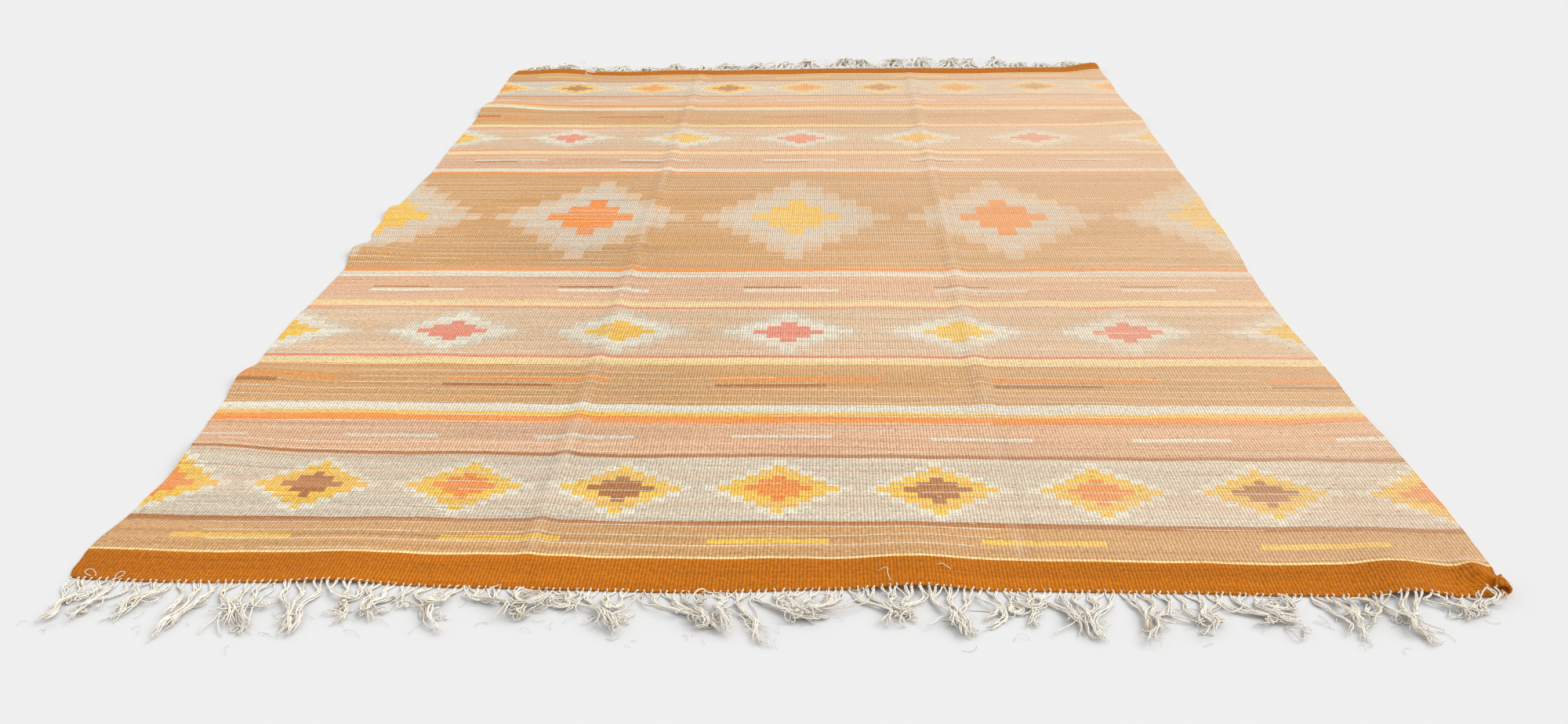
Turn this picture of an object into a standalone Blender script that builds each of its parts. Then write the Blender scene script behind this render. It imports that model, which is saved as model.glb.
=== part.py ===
"""A flat-woven rug with a gathered warp fringe at both ends, lying on a floor.

Lengths are in metres. +X runs across the rug, +Y runs along it from the near end to the far end, and +Z is
up. The origin is on the floor, under the middle of the cloth. Three solids are made: the cloth, and for each
end the row of knots at the cloth's edge with the locks of warp yarn that leave it.
"""

import math
import random
from collections import namedtuple

import bmesh
import bpy

# Cloth, as cut from the loom
CLOTH_WIDTH = 2.0
CLOTH_LENGTH = 2.96
CLOTH_THICKNESS = 0.003

# How fast the wander of an edge dies away towards the middle of the cloth
SIDE_WANDER_POWER = 3
END_WANDER_POWER = 6

# The grid of the sheet: lines closer than the first are one line, gaps wider than the second are divided
CLOSEST_LINES = 0.012
WIDEST_CELL = 0.125

# Knot strip at each end: its gap to the cloth, its section, how far it stops short of the selvedges, and how
# clear a bend of the cloth's edge must be of a lock's root to be followed
NEIGHBOUR_GAP = 0.0003
STRIP_DEPTH = 0.0024
STRIP_HEIGHT = 0.0024
STRIP_INSET = 0.004
STRIP_CLEAR = 0.0008

# Locks of warp yarn: sizes at the root, at the neck half way along, and at the tip. A clump's inner locks
# have its full reach, and the outer ones at least the shortest share of it.
LOCK_PITCH = 0.0145
LOCK_ROOT_WIDTH = 0.0050
LOCK_NECK_WIDTH = 0.0036
LOCK_TIP_WIDTH = 0.0018
LOCK_NECK_HEIGHT = 0.0048
LOCK_TIP_HEIGHT = 0.0018
LOCK_CREST_SHARE = 0.5
NECK_PITCH = 0.0044
NECK_AT = 0.5
LANDING_LENGTH = 0.035
LOCK_SEGMENTS = 5
SHORT_LOCK_SEGMENTS = 4
SHORT_LOCK = 0.075
SHORTEST_SHARE = 0.84
INNER_SHARE = 0.2
LENGTH_SEED = 11

CLOTH_COLOUR = (0.74, 0.50, 0.30, 1.0)
YARN_COLOUR = (0.80, 0.74, 0.62, 1.0)
CLOTH_ROUGHNESS = 0.9
YARN_ROUGHNESS = 0.85
SMOOTH_BELOW = math.radians(40)

# Outward wander of the two selvedges at each distance along the rug
SideWander = namedtuple("SideWander", "along left right")
SIDE_WANDERS = (
    SideWander(-1.48, 0.005, 0.004),
    SideWander(-1.40, 0.009, 0.013),
    SideWander(-1.30, -0.008, 0.014),
    SideWander(-1.16, -0.022, 0.010),
    SideWander(-1.00, 0.000, -0.006),
    SideWander(-0.87, 0.010, -0.003),
    SideWander(-0.81, 0.001, -0.004),
    SideWander(-0.76, 0.006, -0.006),
    SideWander(-0.60, 0.009, -0.014),
    SideWander(-0.48, 0.001, -0.015),
    SideWander(-0.34, -0.003, -0.010),
    SideWander(-0.23, 0.012, -0.001),
    SideWander(-0.17, -0.007, 0.001),
    SideWander(-0.09, 0.008, 0.005),
    SideWander(0.03, 0.011, 0.004),
    SideWander(0.10, 0.000, 0.003),
    SideWander(0.24, -0.003, 0.011),
    SideWander(0.34, -0.008, 0.010),
    SideWander(0.58, -0.001, 0.015),
    SideWander(0.82, -0.001, 0.013),
    SideWander(0.97, 0.004, 0.011),
    SideWander(1.05, -0.008, 0.009),
    SideWander(1.12, -0.001, 0.008),
    SideWander(1.29, 0.007, 0.013),
    SideWander(1.40, 0.013, 0.001),
    SideWander(1.48, 0.006, 0.000),
)

# Outward wander of the two ends at each distance across the rug
EndWander = namedtuple("EndWander", "across near far")
END_WANDERS = (
    EndWander(-1.00, -0.006, -0.010),
    EndWander(-0.84, 0.000, -0.014),
    EndWander(-0.62, -0.003, -0.034),
    EndWander(-0.42, 0.006, -0.014),
    EndWander(-0.30, 0.009, -0.020),
    EndWander(-0.12, 0.012, -0.013),
    EndWander(0.10, 0.002, 0.001),
    EndWander(0.30, 0.001, 0.001),
    EndWander(0.58, 0.003, -0.005),
    EndWander(0.70, 0.006, 0.006),
    EndWander(0.86, 0.006, 0.007),
    EndWander(1.00, 0.003, 0.005),
)

# Raised folds. The crest passes through (x, y) and runs across or along the rug. The level share of its
# length keeps its full height, and the rest falls away towards both ends.
Fold = namedtuple("Fold", "x y runs length width height level")
FOLDS = (
    # creases from lying folded in three
    Fold(-0.355, 0.00, "along", 2.96, 0.052, 0.0055, 0.90),
    Fold(0.355, 0.21, "along", 2.54, 0.056, 0.0055, 0.85),
    # left selvedge
    Fold(-1.00, -1.14, "across", 0.44, 0.20, 0.0130, 0.10),
    Fold(-1.00, -0.86, "across", 0.36, 0.16, 0.0110, 0.10),
    Fold(-1.00, -0.23, "across", 0.36, 0.18, 0.0100, 0.10),
    Fold(-1.00, 0.03, "across", 0.34, 0.14, 0.0110, 0.10),
    Fold(-1.00, 0.97, "across", 0.50, 0.26, 0.0120, 0.10),
    # right selvedge
    Fold(1.00, 0.82, "across", 0.40, 0.30, 0.0100, 0.10),
    Fold(1.00, 0.12, "across", 0.30, 0.22, 0.0080, 0.10),
    Fold(1.00, -1.03, "across", 0.36, 0.22, 0.0080, 0.10),
    # near end
    Fold(-0.62, -1.48, "along", 0.30, 0.22, 0.0050, 0.10),
    Fold(0.20, -1.48, "along", 0.44, 0.24, 0.0090, 0.10),
    Fold(0.87, -1.48, "along", 0.40, 0.15, 0.0110, 0.10),
    # near right corner, curled over at the selvedge
    Fold(0.972, -1.48, "along", 0.20, 0.054, 0.0190, 0.20),
    # far end, with its right corner standing up
    Fold(-0.84, 1.48, "along", 0.44, 0.26, 0.0065, 0.10),
    Fold(1.00, 1.48, "along", 0.36, 0.25, 0.0170, 0.10),
    # wrinkles in the field
    Fold(-0.06, -1.08, "across", 0.60, 0.08, 0.0050, 0.30),
    Fold(-0.62, -0.48, "across", 0.46, 0.09, 0.0050, 0.30),
    Fold(0.46, -0.94, "across", 0.52, 0.08, 0.0045, 0.30),
    Fold(-0.66, 0.64, "across", 0.44, 0.10, 0.0050, 0.30),
    Fold(0.70, 0.42, "across", 0.40, 0.09, 0.0040, 0.30),
)

# Clumps of locks, from left to right: where the roots centre and how wide they spread, where the tip lies,
# how far it reaches from the cloth, and how far the clump bows sideways on its way
Clump = namedtuple("Clump", "root spread tip reach bow")
NEAR_CLUMPS = (
    Clump(-0.970, 0.040, -0.985, 0.112, 0.004),
    Clump(-0.924, 0.032, -0.943, 0.108, -0.004),
    Clump(-0.863, 0.046, -0.893, 0.094, -0.003),
    Clump(-0.804, 0.058, -0.822, 0.130, 0.008),
    Clump(-0.735, 0.066, -0.684, 0.136, -0.010),
    Clump(-0.658, 0.048, -0.645, 0.134, 0.008),
    Clump(-0.596, 0.044, -0.580, 0.098, 0.006),
    Clump(-0.534, 0.048, -0.540, 0.092, -0.008),
    Clump(-0.458, 0.052, -0.436, 0.108, -0.014),
    Clump(-0.364, 0.104, -0.336, 0.092, 0.010),
    Clump(-0.286, 0.028, -0.284, 0.074, 0.010),
    Clump(-0.224, 0.066, -0.184, 0.110, -0.012),
    Clump(-0.119, 0.102, -0.058, 0.114, 0.010),
    Clump(-0.040, 0.026, 0.008, 0.126, -0.006),
    Clump(0.036, 0.098, 0.066, 0.108, -0.014),
    Clump(0.160, 0.086, 0.172, 0.098, 0.008),
    Clump(0.248, 0.054, 0.268, 0.116, -0.008),
    Clump(0.306, 0.032, 0.312, 0.106, 0.004),
    Clump(0.352, 0.030, 0.346, 0.084, 0.006),
    Clump(0.422, 0.062, 0.436, 0.120, -0.010),
    Clump(0.512, 0.050, 0.494, 0.126, 0.008),
    Clump(0.576, 0.042, 0.562, 0.120, 0.012),
    Clump(0.662, 0.084, 0.694, 0.104, -0.010),
    Clump(0.777, 0.064, 0.768, 0.100, 0.012),
    Clump(0.854, 0.052, 0.862, 0.108, -0.010),
    Clump(0.930, 0.054, 0.934, 0.060, 0.006),
)
FAR_CLUMPS = (
    Clump(-0.930, 0.070, -0.902, 0.066, 0.006),
    Clump(-0.835, 0.086, -0.842, 0.100, -0.008),
    Clump(-0.738, 0.062, -0.724, 0.060, 0.004),
    Clump(-0.645, 0.076, -0.626, 0.076, -0.006),
    Clump(-0.555, 0.062, -0.562, 0.060, 0.006),
    Clump(-0.462, 0.078, -0.444, 0.078, -0.004),
    Clump(-0.368, 0.066, -0.354, 0.060, 0.004),
    Clump(-0.274, 0.078, -0.282, 0.094, 0.008),
    Clump(-0.180, 0.066, -0.164, 0.104, -0.006),
    Clump(-0.090, 0.068, -0.084, 0.116, 0.006),
    Clump(0.008, 0.080, 0.032, 0.128, -0.008),
    Clump(0.114, 0.086, 0.132, 0.142, 0.010),
    Clump(0.208, 0.066, 0.202, 0.124, -0.008),
    Clump(0.302, 0.080, 0.304, 0.138, 0.010),
    Clump(0.398, 0.078, 0.416, 0.140, -0.010),
    Clump(0.492, 0.074, 0.506, 0.134, 0.008),
    Clump(0.574, 0.050, 0.580, 0.120, -0.004),
    Clump(0.654, 0.068, 0.656, 0.142, 0.010),
    Clump(0.742, 0.062, 0.750, 0.082, -0.006),
    Clump(0.822, 0.062, 0.806, 0.066, 0.006),
    Clump(0.900, 0.060, 0.916, 0.086, -0.006),
)

NEAR_SIDE = -1
FAR_SIDE = 1


def remove_all_objects():
    for thing in list(bpy.data.objects):
        bpy.data.objects.remove(thing, do_unlink=True)


def eased(share):
    """0 to 1 with a level start and finish."""
    share = min(max(share, 0.0), 1.0)
    return share * share * (3 - 2 * share)


def mixed(start, end, share):
    return start + (end - start) * share


def read_table(rows, place_name, value_name, place):
    """The value at a place, eased between the rows of a table on either side of it."""
    places = [getattr(row, place_name) for row in rows]
    values = [getattr(row, value_name) for row in rows]
    if place <= places[0]:
        return values[0]
    for i in range(1, len(rows)):
        if place <= places[i]:
            share = (place - places[i - 1]) / (places[i] - places[i - 1])
            return mixed(values[i - 1], values[i], eased(share))
    return values[-1]


def fold_height(fold, x, y):
    """What one fold adds to the height of the cloth at a point of the flat cut."""
    from_crest, from_centre = x - fold.x, y - fold.y
    if fold.runs == "across":
        from_crest, from_centre = from_centre, from_crest
    half_width = fold.width / 2
    half_length = fold.length / 2
    if abs(from_crest) >= half_width or abs(from_centre) >= half_length:
        return 0.0
    level_length = half_length * fold.level
    falling = max(0.0, abs(from_centre) - level_length) / (half_length - level_length)
    across_crest = math.cos(math.pi / 2 * from_crest / half_width) ** 2
    along_crest = math.cos(math.pi / 2 * falling) ** 2
    return fold.height * across_crest * along_crest


def cloth_point(x, y):
    """Where a point of the flat cut lies, as the underside of the cloth."""
    side, outward_x = ("right", 1) if x > 0 else ("left", -1)
    end, outward_y = ("far", 1) if y > 0 else ("near", -1)
    side_shift = read_table(SIDE_WANDERS, "along", side, y) * abs(2 * x / CLOTH_WIDTH) ** SIDE_WANDER_POWER
    end_shift = read_table(END_WANDERS, "across", end, x) * abs(2 * y / CLOTH_LENGTH) ** END_WANDER_POWER
    height = sum(fold_height(fold, x, y) for fold in FOLDS)
    return x + outward_x * side_shift, y + outward_y * end_shift, height


def grid_lines(size, wanted):
    """Places of the grid's lines in one direction: the edges, the wanted places, and more in wide gaps."""
    half = size / 2
    inner = sorted(place for place in wanted if -half + CLOSEST_LINES < place < half - CLOSEST_LINES)
    kept = [-half]
    for place in inner:
        if place - kept[-1] > CLOSEST_LINES:
            kept.append(place)
    kept.append(half)
    lines = []
    for start, end in zip(kept, kept[1:]):
        parts = math.ceil((end - start) / WIDEST_CELL)
        lines += [mixed(start, end, k / parts) for k in range(parts)]
    return [*lines, half]


def fold_lines(runs):
    """Crests and feet of the folds that run one way."""
    places = []
    for fold in FOLDS:
        if fold.runs == runs:
            crest = fold.y if runs == "across" else fold.x
            places += [crest - fold.width / 2, crest, crest + fold.width / 2]
    return places


def wander_lines(rows, place_name):
    return [getattr(row, place_name) for row in rows]


def make_material(name, colour, roughness):
    material = bpy.data.materials.new(name)
    material.use_nodes = True
    shader = material.node_tree.nodes["Principled BSDF"]
    shader.inputs["Base Color"].default_value = colour
    shader.inputs["Roughness"].default_value = roughness
    shader.inputs["Metallic"].default_value = 0.0
    return material


def make_object(name, points, faces, material):
    mesh = bpy.data.meshes.new(name)
    mesh.from_pydata(points, [], faces)
    work = bmesh.new()
    work.from_mesh(mesh)
    bmesh.ops.recalc_face_normals(work, faces=work.faces)
    work.to_mesh(mesh)
    work.free()
    mesh.materials.append(material)
    thing = bpy.data.objects.new(name, mesh)
    bpy.context.scene.collection.objects.link(thing)
    return thing


def make_cloth(columns, rows, material):
    """One closed sheet: an underside, the same grid raised by the thickness, and a rim."""
    across, along = len(columns), len(rows)
    under = [cloth_point(x, y) for y in rows for x in columns]
    over = [(x, y, z + CLOTH_THICKNESS) for x, y, z in under]

    def index(column, row, layer):
        return layer * across * along + row * across + column

    faces = []
    for layer in (0, 1):
        for row in range(along - 1):
            for column in range(across - 1):
                corners = ((column, row), (column + 1, row), (column + 1, row + 1), (column, row + 1))
                faces.append([index(c, r, layer) for c, r in corners])
    rim = [(column, 0) for column in range(across)]
    rim += [(across - 1, row) for row in range(1, along)]
    rim += [(column, along - 1) for column in range(across - 2, -1, -1)]
    rim += [(0, row) for row in range(along - 2, 0, -1)]
    for (c0, r0), (c1, r1) in zip(rim, rim[1:] + rim[:1]):
        faces.append([index(c0, r0, 0), index(c1, r1, 0), index(c1, r1, 1), index(c0, r0, 1)])
    cloth = make_object("rug_cloth", under + over, faces, material)
    cloth.data.shade_smooth()
    cloth.data.set_sharp_from_angle(angle=SMOOTH_BELOW)


def end_edge(columns, side):
    """The cloth's edge at one end, as the straight runs of the sheet's own grid."""
    return [cloth_point(x, side * CLOTH_LENGTH / 2) for x in columns]


def edge_at(edge, x):
    """(y, z) of the cloth's edge at a place across the rug."""
    for (x0, y0, z0), (x1, y1, z1) in zip(edge, edge[1:]):
        if x <= x1:
            share = (x - x0) / (x1 - x0)
            return mixed(y0, y1, share), mixed(z0, z1, share)
    return edge[-1][1:]


def lock_shares(clump):
    """Where a clump's locks lie across it, from -0.5 at its left to 0.5 at its right."""
    count = max(2, round(clump.spread / LOCK_PITCH))
    return [k / (count - 1) - 0.5 for k in range(count)]


def lock_centre(clump, share, travelled):
    """(x, distance from the knot strip) of a lock's middle, a share of the way to the clump's tip."""
    neck_spread = NECK_PITCH * (len(lock_shares(clump)) - 1)
    spread = mixed(clump.spread, neck_spread, eased(travelled / NECK_AT))
    axis = mixed(clump.root, clump.tip, travelled) + clump.bow * math.sin(math.pi * travelled)
    return axis + share * spread, clump.reach * travelled


def lock_size(travelled):
    """(width, height) of a lock, a share of the way to its own tip."""
    if travelled < NECK_AT:
        share = travelled / NECK_AT
        return mixed(LOCK_ROOT_WIDTH, LOCK_NECK_WIDTH, share), mixed(STRIP_HEIGHT, LOCK_NECK_HEIGHT, share)
    share = (travelled - NECK_AT) / (1 - NECK_AT)
    return mixed(LOCK_NECK_WIDTH, LOCK_TIP_WIDTH, share), mixed(LOCK_NECK_HEIGHT, LOCK_TIP_HEIGHT, share)


def lock_rings(clump, share, own_reach, start, side):
    """The sections of one lock after its root, each as under-left, under-right, over-right, over-left."""
    start_y, start_z = start
    count = SHORT_LOCK_SEGMENTS if clump.reach < SHORT_LOCK else LOCK_SEGMENTS
    rings = []
    for k in range(1, count + 1):
        travelled = min(k / count, own_reach)
        x, distance = lock_centre(clump, share, travelled)
        width, height = lock_size(travelled / own_reach)
        y = start_y + side * distance
        z = start_z * (1 - eased(distance / LANDING_LENGTH))
        base = width / 2
        crest = base * LOCK_CREST_SHARE
        under = [(x - base, y, z), (x + base, y, z)]
        over = [(x + crest, y, z + height), (x - crest, y, z + height)]
        rings.append(under + over)
    return rings


def strip_stations(edge, clumps):
    """Places across the strip where its section is set, and which lock leaves between each and the next."""
    lengths = random.Random(LENGTH_SEED)
    half_width = CLOTH_WIDTH / 2 - STRIP_INSET
    roots = []
    for clump in clumps:
        for share in lock_shares(clump):
            left = clump.root + share * clump.spread - LOCK_ROOT_WIDTH / 2
            own_reach = lengths.uniform(SHORTEST_SHARE, 1.0) if abs(share) > INNER_SHARE else 1.0
            roots.append((left, left + LOCK_ROOT_WIDTH, (clump, share, own_reach)))
    bends = [x for x, _, _ in edge]
    stations = []
    start = -half_width
    for left, right, lock in [*roots, (half_width, None, None)]:
        between = [x for x in bends if start + STRIP_CLEAR < x < left - STRIP_CLEAR]
        stations += [(x, None) for x in [start, *between]]
        stations.append((left, lock))
        start = right
    return stations


def make_fringe(name, columns, clumps, side, material):
    """The row of knots as a strip along the cloth's edge, with the locks growing from its outer face."""
    edge = end_edge(columns, side)
    stations = strip_stations(edge, clumps)
    points = []
    faces = []
    for x, _ in stations:
        y, z = edge_at(edge, x)
        inner = y + side * NEIGHBOUR_GAP
        outer = inner + side * STRIP_DEPTH
        points += [(x, inner, z), (x, inner, z + STRIP_HEIGHT), (x, outer, z + STRIP_HEIGHT), (x, outer, z)]
    for k in range(len(stations) - 1):
        here, there = 4 * k, 4 * (k + 1)
        for low in (0, 1, 3):
            high = (low + 1) % 4
            faces.append([here + low, here + high, there + high, there + low])
        lock = stations[k][1]
        root = [here + 3, there + 3, there + 2, here + 2]
        if lock is None:
            faces.append(root)
            continue
        clump, share, own_reach = lock
        middle = clump.root + share * clump.spread
        start_y, start_z = edge_at(edge, middle)
        start_y += side * (NEIGHBOUR_GAP + STRIP_DEPTH)
        ring = root
        for section in lock_rings(clump, share, own_reach, (start_y, start_z), side):
            next_ring = list(range(len(points), len(points) + 4))
            points += section
            for a, b in ((0, 1), (1, 2), (2, 3), (3, 0)):
                faces.append([ring[a], ring[b], next_ring[b], next_ring[a]])
            ring = next_ring
        faces.append(ring)
    last = 4 * (len(stations) - 1)
    faces += [[0, 1, 2, 3], [last, last + 1, last + 2, last + 3]]
    make_object(name, points, faces, material)


def main():
    remove_all_objects()
    cloth_material = make_material("woven_wool", CLOTH_COLOUR, CLOTH_ROUGHNESS)
    yarn_material = make_material("warp_yarn", YARN_COLOUR, YARN_ROUGHNESS)
    columns = grid_lines(CLOTH_WIDTH, fold_lines("along") + wander_lines(END_WANDERS, "across"))
    rows = grid_lines(CLOTH_LENGTH, fold_lines("across") + wander_lines(SIDE_WANDERS, "along"))
    make_cloth(columns, rows, cloth_material)
    make_fringe("fringe_near", columns, NEAR_CLUMPS, NEAR_SIDE, yarn_material)
    make_fringe("fringe_far", columns, FAR_CLUMPS, FAR_SIDE, yarn_material)


main()
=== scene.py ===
"""The looks of a large flat-woven wool rug on a pale floor, with a gathered cotton fringe at both ends.

Lengths are in metres, in the part's own frame: +X across the rug, +Y along it away from the camera, +Z up.
"""

import math
import random
from collections import namedtuple

import bpy
import numpy as np
from mathutils import Matrix, Vector, noise


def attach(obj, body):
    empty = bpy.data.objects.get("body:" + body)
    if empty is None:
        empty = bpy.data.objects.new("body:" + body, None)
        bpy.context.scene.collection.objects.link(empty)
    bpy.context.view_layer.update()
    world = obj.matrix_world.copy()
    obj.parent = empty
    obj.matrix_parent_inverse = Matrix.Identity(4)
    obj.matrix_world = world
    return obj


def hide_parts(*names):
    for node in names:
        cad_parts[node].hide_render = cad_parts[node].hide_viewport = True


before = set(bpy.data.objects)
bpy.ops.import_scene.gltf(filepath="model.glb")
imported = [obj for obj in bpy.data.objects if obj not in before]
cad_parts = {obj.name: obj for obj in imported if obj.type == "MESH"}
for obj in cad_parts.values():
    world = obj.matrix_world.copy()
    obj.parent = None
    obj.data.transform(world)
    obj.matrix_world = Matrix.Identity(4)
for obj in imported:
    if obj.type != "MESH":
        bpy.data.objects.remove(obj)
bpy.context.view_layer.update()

# Cloth, as cut from the loom
CLOTH_WIDTH = 2.0
CLOTH_LENGTH = 2.96
CLOTH_THICKNESS = 0.003
SIDE_WANDER_POWER = 3
END_WANDER_POWER = 6
EDGE_ROUNDING = 0.0012
CORNER_SIZE = 0.024
CORNER_PULLED_IN = 0.0045
SELVEDGE_BUMP = 0.0016
SELVEDGE_BUMPS_A_METRE = 40.0
BROAD_RIPPLE = 0.0016
FINE_RIPPLE = 0.0007

# Grid of the sheet
CELL_ACROSS = 0.0125
CELL_ALONG = 0.0135
EDGE_LINES = (
    0.0008, 0.0025, 0.005, 0.008, 0.011, 0.014, 0.017, 0.020, 0.023, 0.026, 0.029, 0.032, 0.036,
)

# The near right corner, drawn outwards and rolled up
ROLL_STARTS_ALONG = -1.430
ROLL_FULL_ALONG = -1.470
ROLL_DRAWN_FROM = 0.930
ROLL_DRAWN_OUT = 0.026
ROLL_AXIS = 0.968
ROLL_RADIUS = 0.0078
ROLL_TIGHTENS = 0.30
ROLL_LOWERS = 0.85

# Weave
RIB_PITCH = 0.0053
BEAD_PITCH = 0.0022
WEFT_STEP = 0.0026
PALE_PICK_PITCH = 0.024
PALE_PICK_SHARE = 0.11
DARK_PICK_PITCH = 0.037
DARK_PICK_SHARE = 0.07
CLEAR_END = 0.08

# Creases along the rug: a pale crest, partly wear and partly painted highlight, with painted shade beside it
CREASES = (-0.355, 0.355)
CREASE_HALF_WIDTH = 0.016

# Knots and yarns
KNOT_PITCH = 0.0106
PLY_PITCH = 0.0042
NEAR_YARN_RADIUS = 0.00100
FAR_YARN_RADIUS = 0.00130
HOOK_RADIUS = 0.00100
THREAD_RADIUS = 0.00055
FIBRE_RADIUS = 0.00020
TANGLED_SHARE = 0.9
STRAND_PITCH = 0.0235
STRAND_HALF_WIDTH = 0.0042
STRAND_HALF_HEIGHT = 0.0022
STRAND_GATHERED_BY = 0.20
NECK_SHARE = 0.25
NECK_STARTS = 0.14
NECK_AT = 0.56
STRAY_SHARE = 0.08
YARNS_A_KNOT = 3
NEST_YARNS_A_METRE = 480
FIBRES_A_CLUMP = 6

# How far from the rug's middle the last of each may leave the cloth
LAST_YARN = 0.997
LAST_KNOT = 0.996
LAST_TANGLE = 0.990

# Points along each kind of yarn, and sides around it
HOOK_POINTS = 9
HOOK_SIDES = 6
NEST_POINTS = 26
FIBRE_POINTS = 8
FIBRE_SIDES = 3
THREAD_POINTS = 22
CLOSED_END = 0.03

# Camera, fitted to the corners of the cloth
CAMERA_PLACE = (0.073, -2.909, 1.074)
CAMERA_PITCH = math.radians(26.74)
CAMERA_YAW = math.radians(2.10)
CAMERA_ROLL = math.radians(-0.71)
CAMERA_LENS = 29.07
SENSOR_WIDTH = 36.0

# Light
SOFTBOX_FROM = (1.0, 0.10, 1.05)
SOFTBOX_POWER = 1.85
SOFTBOX_ANGLE = math.radians(50)
SURROUND_STRENGTH = 0.73
FLOOR_SIZE = 60
FLOOR_BELOW = 0.0002

# Dyes and other colours, in linear light, with the tints of painted light and highlight among them
TAN = (0.650, 0.365, 0.155)
PEACH = (0.760, 0.465, 0.285)
SAND = (0.730, 0.520, 0.335)
GREIGE = (0.700, 0.590, 0.450)
IVORY = (0.800, 0.740, 0.590)
RUST = (0.540, 0.156, 0.003)
BROWN = (0.480, 0.195, 0.070)
YELLOW = (0.930, 0.570, 0.110)
PALE_YELLOW = (0.920, 0.690, 0.340)
ORANGE = (0.920, 0.310, 0.075)
PINK = (0.840, 0.290, 0.200)
# pale crest of a crease: partly wear, partly painted highlight
WORN_AND_HIGHLIT = (0.860, 0.700, 0.520)
COTTON = (0.970, 0.915, 0.800)
STAIN = (0.600, 0.390, 0.180)
# painted light: the paler tint of the right and far side
PAINTED_LIGHT_TINT = (0.890, 0.640, 0.430)
SLUB = (0.200, 0.110, 0.060)
LINT = (0.850, 0.800, 0.700)
FLOOR = (0.752, 0.752, 0.752)

# Outward wander of the two selvedges at each distance along the rug
SideWander = namedtuple("SideWander", "along left right")
SIDE_WANDERS = (
    SideWander(-1.48, 0.005, 0.004),
    SideWander(-1.40, 0.009, 0.013),
    SideWander(-1.30, -0.008, 0.014),
    SideWander(-1.16, -0.022, 0.010),
    SideWander(-1.00, 0.000, -0.006),
    SideWander(-0.87, 0.010, -0.003),
    SideWander(-0.81, 0.001, -0.004),
    SideWander(-0.76, 0.006, -0.006),
    SideWander(-0.60, 0.009, -0.014),
    SideWander(-0.48, 0.001, -0.015),
    SideWander(-0.34, -0.003, -0.010),
    SideWander(-0.23, 0.012, -0.001),
    SideWander(-0.17, -0.007, 0.001),
    SideWander(-0.09, 0.008, 0.005),
    SideWander(0.03, 0.011, 0.004),
    SideWander(0.10, 0.000, 0.003),
    SideWander(0.24, -0.003, 0.011),
    SideWander(0.34, -0.008, 0.010),
    SideWander(0.58, -0.001, 0.015),
    SideWander(0.82, -0.001, 0.013),
    SideWander(0.97, 0.004, 0.011),
    SideWander(1.05, -0.008, 0.009),
    SideWander(1.12, -0.001, 0.008),
    SideWander(1.29, 0.007, 0.013),
    SideWander(1.40, 0.013, 0.001),
    SideWander(1.48, 0.006, 0.000),
)

# Outward wander of the two ends at each distance across the rug
EndWander = namedtuple("EndWander", "across near far")
END_WANDERS = (
    EndWander(-1.00, -0.006, -0.010),
    EndWander(-0.84, 0.000, -0.014),
    EndWander(-0.62, -0.003, -0.034),
    EndWander(-0.42, 0.006, -0.014),
    EndWander(-0.30, 0.009, -0.020),
    EndWander(-0.12, 0.012, -0.013),
    EndWander(0.10, 0.002, 0.001),
    EndWander(0.30, 0.001, 0.001),
    EndWander(0.58, 0.003, -0.005),
    EndWander(0.70, 0.006, 0.006),
    EndWander(0.86, 0.006, 0.007),
    EndWander(1.00, 0.003, 0.005),
)

# Raised folds: the crest passes through (x, y), and the level share of its length keeps its full height
Fold = namedtuple("Fold", "x y runs length width height level")
FOLDS = (
    # creases from lying folded in three
    Fold(-0.355, 0.00, "along", 2.96, 0.052, 0.0055, 0.90),
    Fold(0.355, 0.21, "along", 2.54, 0.056, 0.0055, 0.85),
    # left selvedge
    Fold(-1.00, -1.14, "across", 0.44, 0.20, 0.0130, 0.10),
    Fold(-1.00, -0.86, "across", 0.36, 0.16, 0.0110, 0.10),
    Fold(-1.00, -0.23, "across", 0.36, 0.18, 0.0100, 0.10),
    Fold(-1.00, 0.03, "across", 0.34, 0.14, 0.0110, 0.10),
    Fold(-1.00, 0.97, "across", 0.50, 0.26, 0.0120, 0.10),
    # right selvedge
    Fold(1.00, 0.82, "across", 0.40, 0.30, 0.0100, 0.10),
    Fold(1.00, 0.12, "across", 0.30, 0.22, 0.0080, 0.10),
    Fold(1.00, -1.03, "across", 0.36, 0.22, 0.0080, 0.10),
    # near end
    Fold(-0.62, -1.48, "along", 0.30, 0.22, 0.0050, 0.10),
    Fold(0.20, -1.48, "along", 0.44, 0.24, 0.0090, 0.10),
    Fold(0.87, -1.48, "along", 0.40, 0.15, 0.0110, 0.10),
    # near right corner, curled over at the selvedge
    Fold(0.972, -1.48, "along", 0.20, 0.054, 0.0190, 0.20),
    # far end, with its right corner standing up
    Fold(-0.84, 1.48, "along", 0.44, 0.26, 0.0065, 0.10),
    Fold(1.00, 1.48, "along", 0.36, 0.25, 0.0170, 0.10),
    # wrinkles in the field
    Fold(-0.06, -1.08, "across", 0.60, 0.08, 0.0050, 0.30),
    Fold(-0.62, -0.48, "across", 0.46, 0.09, 0.0050, 0.30),
    Fold(0.46, -0.94, "across", 0.52, 0.08, 0.0045, 0.30),
    Fold(-0.66, 0.64, "across", 0.44, 0.10, 0.0050, 0.30),
    Fold(0.70, 0.42, "across", 0.40, 0.09, 0.0040, 0.30),
)

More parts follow.
